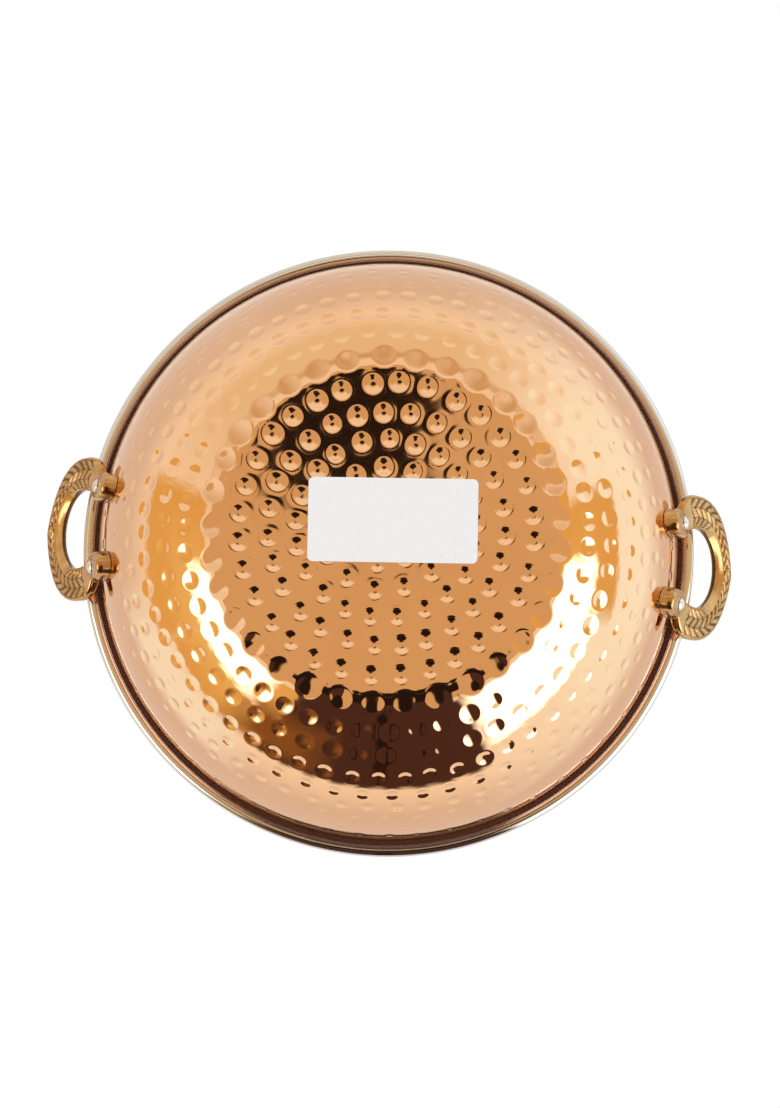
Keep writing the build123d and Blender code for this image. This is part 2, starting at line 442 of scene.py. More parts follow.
def mark_seam(mesh):
    """Store how much painted shade and painted copper reflection lies at each point of the bowl, for its
    material.
    """
    seams = []
    for vertex in mesh.vertices:
        radius = hypot(vertex.co.x, vertex.co.y)
        in_seam = vertex.co.z < seam_top and radius > seam_inside
        seams.append(clamp((seam_start - radius) / seam_width) if in_seam else 0.0)
    layer = mesh.attributes.new("seam", "FLOAT", "POINT")
    layer.data.foreach_set("value", seams)


def lip_roll(radius, count):
    """Points of the lip's roll at a radius from its centre, from its top round under."""
    centre = (rim_radius - lip_roll_radius, rim_height - lip_roll_radius)
    turns = [lip_roll_turn * k / count for k in range(count + 1)]
    return [Vector((centre[0] + radius * sin(turn), centre[1] + radius * cos(turn))) for turn in turns]


def make_bowl():
    """The steel bowl: up inside the copper, over its edge and rolled under."""
    food = [point[:2] for point in bowl_outline(steel_inside, *bowl_rows_inside)]
    pan = [point[:2] for point in bowl_outline(steel_outside, *bowl_rows_outside)]
    neck_radius = (rim_height - food[-1][1]) / (1 - cos(wall_end_angle))
    neck_end = (food[-1][0] + neck_radius * sin(wall_end_angle), rim_height)
    heading = (cos(wall_end_angle), sin(wall_end_angle))
    neck = arc_points(food[-1], heading, neck_end, neck_points)[0]
    under_end = (neck_end[0], rim_height - steel_thickness)
    under_neck = arc_points(pan[-1], heading, under_end, under_neck_points)[0]
    roll = lip_roll(lip_roll_radius, roll_points)
    under_roll = lip_roll(lip_roll_radius - steel_thickness, under_roll_points)
    outline = food + [tuple(point) for point in neck[1:] + roll]
    back = pan + [tuple(point) for point in under_neck[1:] + under_roll]
    thing = lathe("steel_bowl", outline + back[::-1], bowl_steps)
    mark_seam(thing.data)
    return thing


# Rivets

rivet_steps = 48
head_rows = 12
peen_rows = 10


def wall_frame(azimuth):
    """The frame square to the wall at a rivet: x across, y up the wall, z outwards."""
    radius, height = wall_point(rivet_angle, 0)
    outwards = Vector((sin(rivet_angle) * cos(azimuth), sin(rivet_angle) * sin(azimuth), -cos(rivet_angle)))
    across = Vector((-sin(azimuth), cos(azimuth), 0))
    upwards = outwards.cross(across)
    place = Vector((radius * cos(azimuth), radius * sin(azimuth), height))
    turn = Matrix((across, upwards, outwards)).transposed().to_4x4()
    return Matrix.Translation(place) @ turn


def dome(radius, thickness, base, side, count):
    """Outline points of a domed end, from its rim to the axis."""
    ball = (radius * radius + thickness * thickness) / (2 * thickness)
    full = asin(min(radius / ball, 1.0))
    out = []
    for k in range(count + 1):
        angle = full * (1 - k / count)
        out.append((ball * sin(angle), base + side * (thickness - ball + ball * cos(angle))))
    return out


def make_rivets(name, azimuths):
    """Two rivets in one mesh: domed head inside the bowl, shank, peened end on the foot."""
    # The wall is hollow under a head, so the head rests on its rim
    hollow = head_radius ** 2 / (2 * (wall_radius - steel_inside))
    seat = steel_inside + hollow + seat_gap
    top = foot_thickness + seat_gap
    head = dome(head_radius, head_thickness, -seat, -1, head_rows)
    peen = dome(peen_radius, peen_thickness, top, 1, peen_rows)
    outline = head[::-1] + [(shank_radius, -seat), (shank_radius, top)] + peen
    joined = bmesh.new()
    for azimuth in azimuths:
        rivet = lathe(name, outline, rivet_steps)
        rivet.data.transform(wall_frame(azimuth))
        joined.from_mesh(rivet.data)
        bpy.data.objects.remove(rivet)
    bmesh.ops.recalc_face_normals(joined, faces=joined.faces)
    mesh = bpy.data.meshes.new(name)
    joined.to_mesh(mesh)
    joined.free()
    thing = bpy.data.objects.new(name, mesh)
    bpy.context.scene.collection.objects.link(thing)
    return thing


# Handles: one casting, carved on the face that is seen from below

# The ring's outlines, its sections along its length, and how square each is
edge_points = 40
crown_points = 50
stations = 240
section_points = 44
section_power = 4.5

# The feet: levels as shares of their thickness and width, points round each, and how square they are
foot_levels = (
    (-1.0, 1.0), (0.25, 1.0), (0.55, 0.99), (0.8, 0.94), (0.93, 0.87), (0.985, 0.78), (1.0, 0.66),
)
foot_points = 56
foot_power = 2.6

# How ring and feet are joined into one casting and softened
cast_voxel = 0.22 * MM
cast_smoothing = 16
cast_smoothing_factor = 0.5

# Carved herringbone: columns of leaning lines between the band's edges
carve_pitch = 3.0 * MM
carve_depth = 0.50 * MM
carve_columns = 3
carve_lean = 0.95
carve_line_width = 0.52
carve_line_power = 0.7
carve_seam_width = 0.10
carve_seam_depth = 0.75
carve_edge_share = 0.8

# Where the carving ends: towards the feet, on the ring's sides and below its face
carve_end_share = 0.84
carve_fade = 1.2 * MM
carve_facing = 0.35
carve_reach_share = 0.45

# Plain worn bevel on the inner side, in the middle of the ring's length
bevel_depth = 1.5 * MM
bevel_line_share = 0.24
bevel_start_share = 0.38
bevel_run_share = 0.22
bevel_blend = 5

# Painted shade on the side of the hole
side_facing = 0.8
side_painted_shade = 0.9


def half_outlines():
    """Outer and inner edge of the ring's +side half, from the apex to the foot, as point lists."""
    side_top = (side_half_width, -side_drop)
    side_low = (side_half_width, -hip_drop)
    leg_outer = (rivet_spacing / 2 + foot_half_width - leg_inset, -leg_drop)
    leg_inner = (rivet_spacing / 2 - foot_half_width + leg_inset, -leg_drop)
    shoulder, heading = arc_points(side_top, (0, 1), brow, edge_points)
    crest = arc_points(brow, heading, (0, 0), edge_points)[0]
    hip = arc_points(side_low, (0, -1), leg_outer, edge_points)[0]
    outer = crest[::-1] + shoulder[::-1] + hip
    hole_side = (hole_half_width, -hole_top_drop - hole_half_width)
    crown = arc_points((0, -hole_top_drop), (1, 0), hole_side, crown_points)[0]
    inner = crown + arc_points(crown[-1], (0, -1), leg_inner, edge_points)[0]
    return outer, inner


def path_lengths(points):
    """How far along a line of points each of them lies."""
    lengths = [0.0]
    for low, high in zip(points, points[1:]):
        lengths.append(lengths[-1] + (high - low).length)
    return lengths


def even_points(points, count):
    """The same line with evenly spaced points."""
    lengths = path_lengths(points)
    out = []
    at = 0
    for k in range(count + 1):
        want = lengths[-1] * k / count
        while at < len(points) - 2 and lengths[at + 1] < want:
            at += 1
        span = lengths[at + 1] - lengths[at]
        share = (want - lengths[at]) / span if span > 0 else 0.0
        out.append(points[at].lerp(points[at + 1], clamp(share)))
    return out


def ring_stations():
    """Pairs (inner, outer) right round the ring, foot to foot, in the ring's plane."""
    outer, inner = half_outlines()
    half = stations // 2
    outer = even_points(outer, half)
    inner = even_points(inner, half)
    plus_side = list(zip(inner, outer))
    minus_side = [(Vector((-a.x, a.y)), Vector((-b.x, b.y))) for a, b in plus_side[1:]]
    return minus_side[::-1] + plus_side


def ring_frame():
    """The ring's frame: x sideways, y up its slope, z out of its carved face."""
    across = Vector((0, 1, 0))
    out = Vector((sin(handle_slope), 0, -cos(handle_slope)))
    along = out.cross(across)
    place = Vector((rim_radius + handle_reach, 0, rim_height + handle_rise))
    turn = Matrix((across, along, out)).transposed().to_4x4()
    return Matrix.Translation(place) @ turn


def signed_power(value, power):
    """A circle's coordinate made squarer: the higher the power, the squarer."""
    return abs(value) ** (2 / power) * (1 if value >= 0 else -1)


def tube_faces(rows, count):
    """Faces of a closed tube of rows of points, with both ends filled."""
    faces = []
    for row in range(rows - 1):
        for k in range(count):
            after = (k + 1) % count
            base = row * count
            faces.append((base + k, base + after, base + count + after, base + count + k))
    faces.append(tuple(range(count - 1, -1, -1)))
    faces.append(tuple(range((rows - 1) * count, rows * count)))
    return faces


def ring_mesh(pairs):
    """The plain ring as a tube of rounded sections, closed at both ends."""
    points = []
    for inner, outer in pairs:
        middle = (inner + outer) / 2
        half = (outer - inner) / 2
        for k in range(section_points):
            turn = 2 * pi * k / section_points
            wide = signed_power(cos(turn), section_power)
            high = signed_power(sin(turn), section_power)
            spot = middle + half * wide
            points.append((spot.x, spot.y, handle_thickness / 2 * (high - 1)))
    return points, tube_faces(len(pairs), section_points)


def foot_mesh(azimuth):
    """One foot: a rounded tongue on the wall with softened edges."""
    place = wall_frame(azimuth)
    points = []
    for level, width in foot_levels:
        for step in range(foot_points):
            turn = 2 * pi * step / foot_points
            half = foot_half_width * width
            x = half * signed_power(cos(turn), foot_power)
            y = signed_power(sin(turn), foot_power)
            lift = foot_rise if y > 0 else foot_tail + foot_half_width
            y = y * (lift - foot_half_width * (1 - width))
            depth = level * foot_thickness if level > 0 else level * copper_thickness
            points.append(place @ Vector((x, y, depth)))
    return points, tube_faces(len(foot_levels), foot_points)


def carve_pattern(length, share):
    """Depth share of the herringbone at a length from the apex and a share across the band."""
    place = (share + carve_edge_share) / (2 * carve_edge_share) * carve_columns
    if not 0 <= place <= carve_columns:
        return 0.0
    column = min(int(place), carve_columns - 1)
    within = place - column
    lean = within if column % 2 == 0 else 1 - within
    phase = length / carve_pitch + lean * carve_lean
    line = abs(phase - round(phase)) * 2
    groove = max(0.0, 1 - line / carve_line_width) ** carve_line_power
    edge = min(within, 1 - within)
    seam = max(0.0, 1 - edge / carve_seam_width) * carve_seam_depth
    return max(groove, seam)


def keep_clear(point):
    """Move a point of the casting out of the bowl's wall and out of the rolled lip."""
    radius = hypot(point.x, point.y)
    away = Vector((point.x / radius, point.y / radius, 0))
    wall = Vector((radius - wall_centre[0], point.z - wall_centre[1]))
    room = wall_radius + bowl_clearance
    if point.z < shell_height and wall.length < room:
        wall = wall.normalized() * room
        radius = wall_centre[0] + wall.x
        point = away * radius + Vector((0, 0, wall_centre[1] + wall.y))
    lip = Vector((radius - rim_radius + lip_roll_radius, point.z - rim_height + lip_roll_radius))
    room = lip_roll_radius + lip_clearance
    if lip.length < room:
        lip = lip.normalized() * room
        point = away * (rim_radius - lip_roll_radius + lip.x)
        point += Vector((0, 0, rim_height - lip_roll_radius + lip.y))
    return point


def run_modifier(thing, kind, **settings):
    """Add a modifier and bake it into the mesh."""
    modifier = thing.modifiers.new(kind, kind)
    for key, value in settings.items():
        setattr(modifier, key, value)
    graph = bpy.context.evaluated_depsgraph_get()
    mesh = bpy.data.meshes.new_from_object(thing.evaluated_get(graph))
    thing.modifiers.clear()
    old = thing.data
    thing.data = mesh
    bpy.data.meshes.remove(old)


def make_casting(name, pairs, placed):
    """The plain casting of the +X handle: ring and feet joined into one skin."""
    points, faces = ring_mesh(pairs)
    points = [placed @ Vector(point) for point in points]
    for azimuth in (-rivet_azimuth, rivet_azimuth):
        more, more_faces = foot_mesh(azimuth)
        faces += [tuple(corner + len(points) for corner in face) for face in more_faces]
        points += more
    thing = mesh_object(name, points, faces)
    run_modifier(thing, "REMESH", mode="VOXEL", voxel_size=cast_voxel, use_smooth_shade=True)
    run_modifier(thing, "SMOOTH", factor=cast_smoothing_factor, iterations=cast_smoothing)
    return thing


def station_tree(middles):
    """A search tree that finds the section nearest to a point in the ring's plane."""
    tree = KDTree(len(middles))
    for k, middle in enumerate(middles):
        tree.insert((middle.x, middle.y, 0), k)
    tree.balance()
    return tree


def bevel_shares(length_share, share):
    """How worn the ring is at a share of its half length, and how far into the bevel a point lies."""
    worn = 1 - smooth_step((length_share - bevel_start_share) / bevel_run_share)
    across = clamp((-share - bevel_line_share) / (1 - bevel_line_share))
    return worn, across


def carve(mesh, pairs, placed):
    """Cut the bevel and the herringbone, and give back how dark each point of the casting is: patina in the
    grooves, painted shade on the side of the hole.
    """
    middles = [(inner + outer) / 2 for inner, outer in pairs]
    lengths = path_lengths(middles)
    centre_length = lengths[len(pairs) // 2]
    end_length = centre_length * carve_end_share
    tree = station_tree(middles)
    inverse = placed.inverted()
    face_out = placed.to_3x3() @ Vector((0, 0, 1))
    normals = [vertex.normal.copy() for vertex in mesh.vertices]
    groove_and_side_shade = [0.0] * len(mesh.vertices)
    for vertex, normal in zip(mesh.vertices, normals):
        local = inverse @ vertex.co
        facing = (inverse.to_3x3() @ normal).z
        _, station, _ = tree.find((local.x, local.y, 0))
        inner, outer = pairs[station]
        half = (outer - inner) / 2
        share = (Vector((local.x, local.y)) - middles[station]).dot(half) / half.length_squared
        length = abs(lengths[station] - centre_length)
        worn, across = bevel_shares(length / centre_length, share)
        height = clamp(1 + 2 * local.z / handle_thickness)
        vertex.co -= face_out * (bevel_depth * across * across * worn * height)
        if length >= end_length:
            continue
        fade = min(1.0, (end_length - length) / carve_fade)
        # Painted shade on the side of the hole, darkest where that side faces straight across
        if share < 0 and abs(facing) < side_facing:
            groove_and_side_shade[vertex.index] = side_painted_shade * fade * (1 - (facing / side_facing) ** 2)
        if facing > carve_facing and local.z > -handle_thickness * carve_reach_share:
            plain = worn * smooth_step(across * bevel_blend)
            groove_and_side_shade[vertex.index] = carve_pattern(length, share) * fade * (1 - plain)
            vertex.co -= normal * carve_depth * groove_and_side_shade[vertex.index]
    return groove_and_side_shade


def make_handle(name, side):
    """One carved casting. side is 1 for the +X handle and -1 for the -X one."""
    pairs = ring_stations()
    placed = ring_frame()
    thing = make_casting(name, pairs, placed)
    mesh = thing.data
    groove_and_side_shade = carve(mesh, pairs, placed)
    for vertex in mesh.vertices:
        vertex.co = keep_clear(vertex.co)
        if side < 0:
            vertex.co = Vector((-vertex.co.x, -vertex.co.y, vertex.co.z))
    # The groove attribute holds the patina of the carved lines and the painted shade on the side of the hole
    layer = mesh.attributes.new("groove", "FLOAT", "POINT")
    layer.data.foreach_set("value", groove_and_side_shade)
    mesh.update()
    return thing


# Label: a blank white sticker in the dish of the base

label_size = (50.0 * MM, 25.0 * MM)
label_corner = 1.6 * MM
label_corner_steps = 10
label_thickness = 0.07 * MM
label_top = 0.077 * MM

# The label's section: share of its size, and share of its thickness below its top
label_levels = ((0.985, 0.0), (1.0, 0.1), (1.0, 0.75), (0.992, 1.0), (0.5, 1.0))


def label_rim():
    """The label's outline: a rectangle with rounded corners."""
    rim = []
    for quarter in range(4):
        corner_x = (label_size[0] / 2 - label_corner) * (1 if quarter in (0, 3) else -1)
        corner_y = (label_size[1] / 2 - label_corner) * (1 if quarter in (0, 1) else -1)
        for step in range(label_corner_steps + 1):
            turn = pi / 2 * (quarter + step / label_corner_steps)
            rim.append(Vector((corner_x + label_corner * cos(turn), corner_y + label_corner * sin(turn), 0)))
    return rim


def make_label():
    """A blank rounded sheet stuck under the base, where the photograph shows the sticker."""
    rim = label_rim()
    offset = pixel_point(label_centre_pixel, camera_to_base)
    offset -= pixel_point(base_centre_pixel, camera_to_base)
    place = camera_right * offset.x + camera_down * offset.y
    place.z = 0
    across = camera_right * cos(label_turn) + camera_down * sin(label_turn)
    spin = Matrix.Rotation(atan2(across.y, across.x), 3, "Z")
    points = []
    for share, drop in label_levels:
        height = label_top - label_thickness * drop
        points += [spin @ (point * share) + place + Vector((0, 0, height)) for point in rim]
    thing = mesh_object("blank_label", points, tube_faces(len(label_levels), len(rim)))
    shape = bmesh.new()
    shape.from_mesh(thing.data)
    bmesh.ops.recalc_face_normals(shape, faces=shape.faces)
    shape.to_mesh(thing.data)
    shape.free()
    return thing


# Materials

copper_dark = (0.88, 0.54, 0.31)
copper_light = (0.91, 0.58, 0.35)
steel_dark = (0.67, 0.63, 0.60)
steel_light = (0.77, 0.73, 0.70)
# Brown for the seam under the lip: painted shade and painted copper reflection
painted_seam_shade = (0.30, 0.105, 0.05)
brass_dark = (0.47, 0.26, 0.10)
brass_light = (0.71, 0.43, 0.19)
# Dark brown for the carved lines' patina and for the painted shade on the side of the hole
brass_patina_and_shade = (0.07, 0.032, 0.012)
rivet_dark = (0.70, 0.66, 0.62)
rivet_light = (0.80, 0.77, 0.74)
paper_dark = (0.85, 0.84, 0.85)
paper_light = (0.89, 0.88, 0.89)

# Heights between which the copper's faint spinning lines come in
spun_low = 34 * MM
spun_high = 48 * MM


def new_material(name):
    """A material with its Principled shader, as (material, nodes, links, shader)."""
    material = bpy.data.materials.new(name)
    material.use_nodes = True
    nodes = material.node_tree.nodes
    shader = next(node for node in nodes if node.type == "BSDF_PRINCIPLED")
    return material, nodes, material.node_tree.links, shader


def object_place(nodes, links, scale=(1, 1, 1)):
    """The object's own coordinates, scaled."""
    where = nodes.new("ShaderNodeTexCoord")
    mapping = nodes.new("ShaderNodeMapping")
    mapping.inputs["Scale"].default_value = scale
    links.new(where.outputs["Object"], mapping.inputs["Vector"])
    return mapping.outputs["Vector"]


def noise(nodes, links, vector, scale, detail):
    """Soft noise over a vector."""
    texture = nodes.new("ShaderNodeTexNoise")
    texture.inputs["Scale"].default_value = scale
    texture.inputs["Detail"].default_value = detail
    texture.inputs["Roughness"].default_value = 0.55
    links.new(vector, texture.inputs["Vector"])
    return texture.outputs["Fac"]


def ramp(nodes, links, value, stops):
    """A colour ramp over value, from (position, colour) stops."""
    node = nodes.new("ShaderNodeValToRGB")
    links.new(value, node.inputs["Fac"])
    elements = node.color_ramp.elements
    while len(elements) < len(stops):
        elements.new(0.5)
    for element, (position, colour) in zip(elements, stops):
        element.position = position
        element.color = (*colour, 1)
    return node.outputs["Color"]


def spread(nodes, links, value, low, high):
    """Map 0..1 to low..high."""
    node = nodes.new("ShaderNodeMapRange")
    node.inputs["To Min"].default_value = low
    node.inputs["To Max"].default_value = high
    links.new(value, node.inputs["Value"])
    return node.outputs["Result"]


def share_between(nodes, links, value, low, high):
    """0 where the value is low or less, 1 where it is high or more."""
    node = nodes.new("ShaderNodeMapRange")
    node.inputs["From Min"].default_value = low
    node.inputs["From Max"].default_value = high
    links.new(value, node.inputs["Value"])
    return node.outputs["Result"]


def combine(nodes, links, operation, first, second):
    """Two values joined by a mathematical operation."""
    node = nodes.new("ShaderNodeMath")
    node.operation = operation
    links.new(first, node.inputs[0])
    links.new(second, node.inputs[1])
    return node.outputs["Value"]


def stored_value(nodes, name):
    """A value that the mesh stores at each point."""
    node = nodes.new("ShaderNodeAttribute")
    node.attribute_name = name
    return node.outputs["Fac"]


def mix_colour(nodes, links, share, first, second):
    """The colour of the socket first, turning into the colour second as share goes from 0 to 1."""
    node = nodes.new("ShaderNodeMix")
    node.data_type = "RGBA"
    node.inputs["B"].default_value = (*second, 1)
    links.new(share, node.inputs["Factor"])
    links.new(first, node.inputs["A"])
    return node.outputs["Result"]


def mix_shaders(nodes, links, share, first, second):
    """The shader first, turning into the shader second as share goes from 0 to 1."""
    node = nodes.new("ShaderNodeMixShader")
    links.new(share, node.inputs["Fac"])
    links.new(first, node.inputs[1])
    links.new(second, node.inputs[2])
    return node.outputs["Shader"]


def bump(nodes, links, shader, value, distance):
    """Raise the shader's surface by a value times a distance."""
    node = nodes.new("ShaderNodeBump")
    node.inputs["Distance"].default_value = distance
    node.inputs["Strength"].default_value = 1.0
    links.new(value, node.inputs["Height"])
    links.new(node.outputs["Normal"], shader.inputs["Normal"])


def copper_material():
    """Mirror polished copper: slightly uneven colour, fine polishing haze and faint spinning lines."""
    material, nodes, links, shader = new_material("polished_copper")
    place = object_place(nodes, links)
    patches = noise(nodes, links, place, scale=28, detail=4)
    colour = ramp(nodes, links, patches, ((0.3, copper_dark), (0.7, copper_light)))
    links.new(colour, shader.inputs["Base Color"])
    shader.inputs["Metallic"].default_value = 1.0
    haze = noise(nodes, links, place, scale=240, detail=5)
    links.new(spread(nodes, links, haze, low=0.02, high=0.06), shader.inputs["Roughness"])
    stretched = object_place(nodes, links, scale=(0.02, 0.02, 1))
    lines = noise(nodes, links, stretched, scale=1500, detail=3)
    height = nodes.new("ShaderNodeSeparateXYZ")
    links.new(place, height.inputs["Vector"])
    upper = share_between(nodes, links, height.outputs["Z"], spun_low, spun_high)
    spun = combine(nodes, links, "MULTIPLY", lines, upper)
    bump(nodes, links, shader, spun, distance=0.02 * MM)
    return material


def steel_material():
    """Polished stainless steel with a fine spun grain, and painted shade with a painted copper reflection in
    the seam, brown and less metallic there.
    """
    material, nodes, links, shader = new_material("polished_steel")
    place = object_place(nodes, links, scale=(1, 1, 14))
    grain = noise(nodes, links, place, scale=160, detail=5)
    colour = ramp(nodes, links, grain, ((0.25, steel_dark), (0.75, steel_light)))
    # The seam value paints shade and a copper reflection into the bowl: brown colour, less metallic
    seam = stored_value(nodes, "seam")
    links.new(mix_colour(nodes, links, seam, colour, painted_seam_shade), shader.inputs["Base Color"])
    links.new(spread(nodes, links, seam, low=1.0, high=0.25), shader.inputs["Metallic"])
    links.new(spread(nodes, links, grain, low=0.05, high=0.13), shader.inputs["Roughness"])
    bump(nodes, links, shader, grain, distance=0.01 * MM)
    return material


def brass_material():
    """Cast brass: polished on the high parts, dark patina in the carved lines and painted shade on the side
    of the hole.
    """
    material, nodes, links, shader = new_material("carved_brass")
    place = object_place(nodes, links)
    patches = noise(nodes, links, place, scale=180, detail=5)
    metal = ramp(nodes, links, patches, ((0.3, brass_dark), (0.7, brass_light)))
    # Darkened by the groove value: patina in the carved lines, painted shade on the side of the hole
    groove = stored_value(nodes, "groove")
    links.new(mix_colour(nodes, links, groove, metal, brass_patina_and_shade), shader.inputs["Base Color"])
    shader.inputs["Metallic"].default_value = 1.0
    fine = noise(nodes, links, place, scale=900, detail=4)
    links.new(spread(nodes, links, fine, low=0.10, high=0.25), shader.inputs["Roughness"])
    bump(nodes, links, shader, fine, distance=0.04 * MM)
    return material


def rivet_material():
    """Polished steel rivets, lightly marked by the hammer."""
    material, nodes, links, shader = new_material("rivet_steel")
    place = object_place(nodes, links)
    marks = noise(nodes, links, place, scale=700, detail=3)
    colour = ramp(nodes, links, marks, ((0.3, rivet_dark), (0.7, rivet_light)))
    links.new(colour, shader.inputs["Base Color"])
    shader.inputs["Metallic"].default_value = 1.0
    links.new(spread(nodes, links, marks, low=0.12, high=0.28), shader.inputs["Roughness"])
    bump(nodes, links, shader, marks, distance=0.08 * MM)
    return material


def label_material():
    """Matt white label paper."""
    material, nodes, links, shader = new_material("label_paper")
    place = object_place(nodes, links)
    fibres = noise(nodes, links, place, scale=900, detail=4)
    colour = ramp(nodes, links, fibres, ((0.3, paper_dark), (0.7, paper_light)))
    links.new(colour, shader.inputs["Base Color"])
    shader.inputs["Roughness"].default_value = 0.6
    bump(nodes, links, shader, fibres, distance=0.01 * MM)
    return material


# Stage: floor, world, cards and a lamp

# The floor, and the distances between which it fades out
floor_size = 3.0
floor_drop = 0.25 * MM
floor_grey = 0.86
floor_fade_start = 0.35
floor_fade_end = 2.6

# How strongly the world lights what isn't metal
world_light = 0.95

# What the cards stand for, as colours
tent_cream = (0.97, 0.92, 0.84)
tent_rose = (0.80, 0.72, 0.68)
cool_white = (0.84, 0.96, 1.0)
lamp_white = (1, 1, 1)
ceiling_white = (1, 0.92, 0.8)
pale_gold = (0.90, 0.80, 0.60)
yellow_glow = (1.0, 0.80, 0.34)
gold_wall = (0.84, 0.55, 0.18)
brown_wall = (0.72, 0.52, 0.31)
warm_room = (0.74, 0.52, 0.29)
rust = (0.62, 0.28, 0.08)
dark_gap = (0.075, 0.035, 0.028)
dark_seam = (0.02, 0.01, 0.01)
black = (0.02, 0.012, 0.01)

# Cards: name, degrees off the camera's line, degrees round it, share of the half width that fades,
# colour, strength. Each card lies nearer than the one before and covers it.
card_distance = 2.0
card_step = 0.04
card_rows = 36
studio_cards = (
    ("tent_card", (34, 116), (0, 360), 0.12, tent_cream, 1.07),
    ("upper_tent_card", (98, 168), (0, 360), 0.6, tent_rose, 1.0),
    ("right_pale_card", (62, 132), (-75, 72), 0.6, cool_white, 1.3),
    ("left_pale_card", (90, 126), (122, 176), 0.6, cool_white, 1.25),
    ("upper_gold_card", (52, 100), (195, 320), 0.5, pale_gold, 1.0),
    ("brown_card", (36, 64), (188, 352), 0.85, brown_wall, 1.0),
    ("room_card", (0, 40), (0, 360), 0.10, warm_room, 1.0),
    ("dark_card", (15, 97), (62, 128), 0.05, dark_gap, 1.0),
    ("dark_seam_card", (30, 94), (90, 95), 0.5, dark_seam, 1.0),
    ("left_gold_card", (50, 103), (158, 202), 0.14, gold_wall, 1.0),
    ("lower_left_gold_card", (50, 93), (124, 160), 0.06, gold_wall, 1.0),
    ("right_gold_card", (50, 93), (-21, 10), 0.26, gold_wall, 1.0),
    ("right_corner_gold_card", (36, 62), (-34, 4), 0.2, gold_wall, 1.0),
    ("left_glow_card", (40, 88), (122, 196), 1.0, yellow_glow, 1.0),
    ("right_glow_card", (40, 84), (-12, 62), 1.0, yellow_glow, 1.0),
    ("right_softbox", (48, 84), (-3, 62), 0.12, lamp_white, 3.2),
    ("left_softbox", (48, 74), (131, 182), 0.25, lamp_white, 3.2),
    ("right_outer_gold_card", (76, 93), (-21, 18), 0.3, gold_wall, 1.0),
    ("rust_card", (62, 97), (104, 141), 0.7, rust, 0.42),
    ("ceiling_card", (23, 42), (225, 315), 0.3, ceiling_white, 1.0),
    ("camera_card", (14.4, 18.8), (253, 270), 0.1, black, 1.0),
    ("lens_card", (12.8, 13.5), (258, 268), 0.4, black, 1.0),
    ("tripod_card", (4, 26), (22, 158), 0.15, black, 1.0),
    ("camera_body_card", (0, 5.5), (0, 360), 0.2, black, 1.0),
)

# The key lamp
key_place = (0.6, -0.7, 1.1)
key_aim = (0, 0, 0.03)
key_size = 0.6
key_power = 5


def floor_material():
    """Pale grey that is clear from below and fades out with distance."""
    material, nodes, links, shader = new_material("floor")
    shader.inputs["Base Color"].default_value = (floor_grey, floor_grey, floor_grey, 1)
    shader.inputs["Roughness"].default_value = 0.7
    output = next(node for node in nodes if node.type == "OUTPUT_MATERIAL")
    clear = nodes.new("ShaderNodeBsdfTransparent")
    side = nodes.new("ShaderNodeNewGeometry")
    away = nodes.new("ShaderNodeVectorMath")
    away.operation = "LENGTH"
    links.new(object_place(nodes, links), away.inputs[0])
    fade = share_between(nodes, links, away.outputs["Value"], floor_fade_start, floor_fade_end)
    hidden = combine(nodes, links, "MAXIMUM", fade, side.outputs["Backfacing"])
    mixed = mix_shaders(nodes, links, hidden, shader.outputs["BSDF"], clear.outputs["BSDF"])
    links.new(mixed, output.inputs["Surface"])
    return material


def make_floor():
    """A pale floor under the object, clear from below so that the photograph's view looks through it."""
    signs = ((-1, -1), (1, -1), (1, 1), (-1, 1))
    corners = [(x * floor_size, y * floor_size, -floor_drop) for x, y in signs]
    floor = mesh_object("floor", corners, [(0, 1, 2, 3)], smooth=False)
    floor.data.materials.append(floor_material())
    floor.visible_shadow = False
    floor.visible_glossy = False
    floor.visible_diffuse = False
    floor.visible_transmission = False


def make_world():
    """A white studio: full white for the camera and for what metal mirrors, softer as light."""
    world = bpy.data.worlds.new("studio")
    bpy.context.scene.world = world
    world.use_nodes = True
    nodes = world.node_tree.nodes
    links = world.node_tree.links
    nodes.clear()
    output = nodes.new("ShaderNodeOutputWorld")
    white = nodes.new("ShaderNodeBackground")
    white.inputs["Color"].default_value = (1, 1, 1, 1)
    soft = nodes.new("ShaderNodeBackground")
    soft.inputs["Color"].default_value = (1, 1, 1, 1)
    soft.inputs["Strength"].default_value = world_light
    path = nodes.new("ShaderNodeLightPath")
    seen = path.outputs["Is Camera Ray"]
    for kind in ("Is Glossy Ray", "Is Transmission Ray"):
        seen = combine(nodes, links, "MAXIMUM", seen, path.outputs[kind])
    mixed = mix_shaders(nodes, links, seen, soft.outputs["Background"], white.outputs["Background"])
    links.new(mixed, output.inputs["Surface"])


def card_mesh(name, distance, tilts, turns, fade):
    """A card's curved mesh, which stores at each point how solid the card is there."""
    points = []
    fades = []
    whole_turn = turns[1] - turns[0] >= 360
    for row in range(card_rows + 1):
        for column in range(card_rows + 1):
            tilt = radians(tilts[0] + (tilts[1] - tilts[0]) * row / card_rows)
            turn = radians(turns[0] + (turns[1] - turns[0]) * column / card_rows)
            sideways = camera_right * cos(turn) + camera_down * sin(turn)
            points.append((sideways * sin(tilt) - camera_forward * cos(tilt)) * distance)
            across = card_rows if whole_turn else min(column, card_rows - column)
            near = card_rows if tilts[0] == 0 else row
            edge = min(near, card_rows - row, across) / card_rows * 2
            fades.append(min(1.0, edge / fade))
    faces = []
    for row in range(card_rows):
        for column in range(card_rows):
            corner = row * (card_rows + 1) + column
            faces.append((corner, corner + 1, corner + card_rows + 2, corner + card_rows + 1))
    thing = mesh_object(name, points, faces)
    layer = thing.data.attributes.new("fade", "FLOAT", "POINT")
    layer.data.foreach_set("value", fades)
    return thing


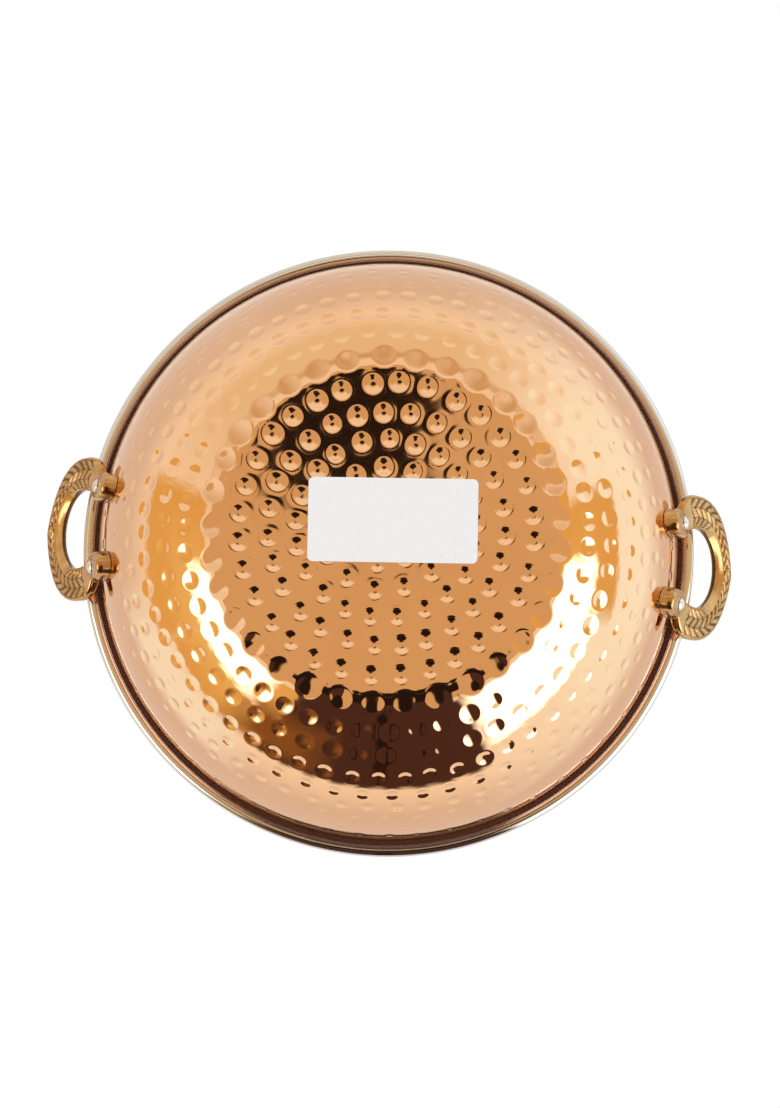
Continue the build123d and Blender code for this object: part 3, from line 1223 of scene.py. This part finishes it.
def card_material(name, colour, strength):
    """An even glow that turns clear towards the card's edges."""
    material = bpy.data.materials.new(name)
    material.use_nodes = True
    nodes = material.node_tree.nodes
    links = material.node_tree.links
    nodes.clear()
    output = nodes.new("ShaderNodeOutputMaterial")
    glow = nodes.new("ShaderNodeEmission")
    glow.inputs["Color"].default_value = (*colour, 1)
    glow.inputs["Strength"].default_value = strength
    clear = nodes.new("ShaderNodeBsdfTransparent")
    fade = stored_value(nodes, "fade")
    mixed = mix_shaders(nodes, links, fade, clear.outputs["BSDF"], glow.outputs["Emission"])
    links.new(mixed, output.inputs["Surface"])
    return material


def make_cards():
    """What the polished metal mirrors: a warm room, a dark gap, gold walls, softboxes and a camera."""
    for layer, (name, tilts, turns, fade, colour, strength) in enumerate(studio_cards):
        thing = card_mesh(name, card_distance - card_step * layer, tilts, turns, fade)
        thing.data.materials.append(card_material(name, colour, strength))
        thing.visible_camera = False
        thing.visible_diffuse = False
        thing.visible_shadow = False


def make_key_lamp():
    """A soft square lamp that metal doesn't mirror."""
    data = bpy.data.lights.new("key", "AREA")
    data.shape = "RECTANGLE"
    data.size = key_size
    data.size_y = key_size
    data.energy = key_power
    thing = bpy.data.objects.new("key", data)
    bpy.context.scene.collection.objects.link(thing)
    thing.location = key_place
    thing.rotation_euler = (Vector(key_aim) - Vector(key_place)).to_track_quat("-Z", "Y").to_euler()
    thing.visible_camera = False
    thing.visible_glossy = False


# Build

make_camera()
shell = make_shell()
shell.data.materials.append(copper_material())
bowl = make_bowl()
bowl.data.materials.append(steel_material())
brass = brass_material()
right = make_handle("right_carved_handle", 1)
left = make_handle("left_carved_handle", -1)
right.data.materials.append(brass)
left.data.materials.append(brass)
rivet_steel = rivet_material()
right_rivets = make_rivets("right_rivets", (-rivet_azimuth, rivet_azimuth))
left_rivets = make_rivets("left_rivets", (pi - rivet_azimuth, pi + rivet_azimuth))
right_rivets.data.materials.append(rivet_steel)
left_rivets.data.materials.append(rivet_steel)
label = make_label()
label.data.materials.append(label_material())

for piece, node, slot in (
    (shell, "outer_shell", "copper"),
    (bowl, "inner_bowl", "stainless"),
    (right, "right_handle", "cast_brass"),
    (left, "left_handle", "cast_brass"),
    (right_rivets, "right_handle_rivets", "rivet_steel"),
    (left_rivets, "left_handle_rivets", "rivet_steel"),
):
    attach(piece, "root")
    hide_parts(node)
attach(label, "root")

make_floor()
make_world()
make_cards()
make_key_lamp()

bpy.context.scene.view_settings.view_transform = "Standard"
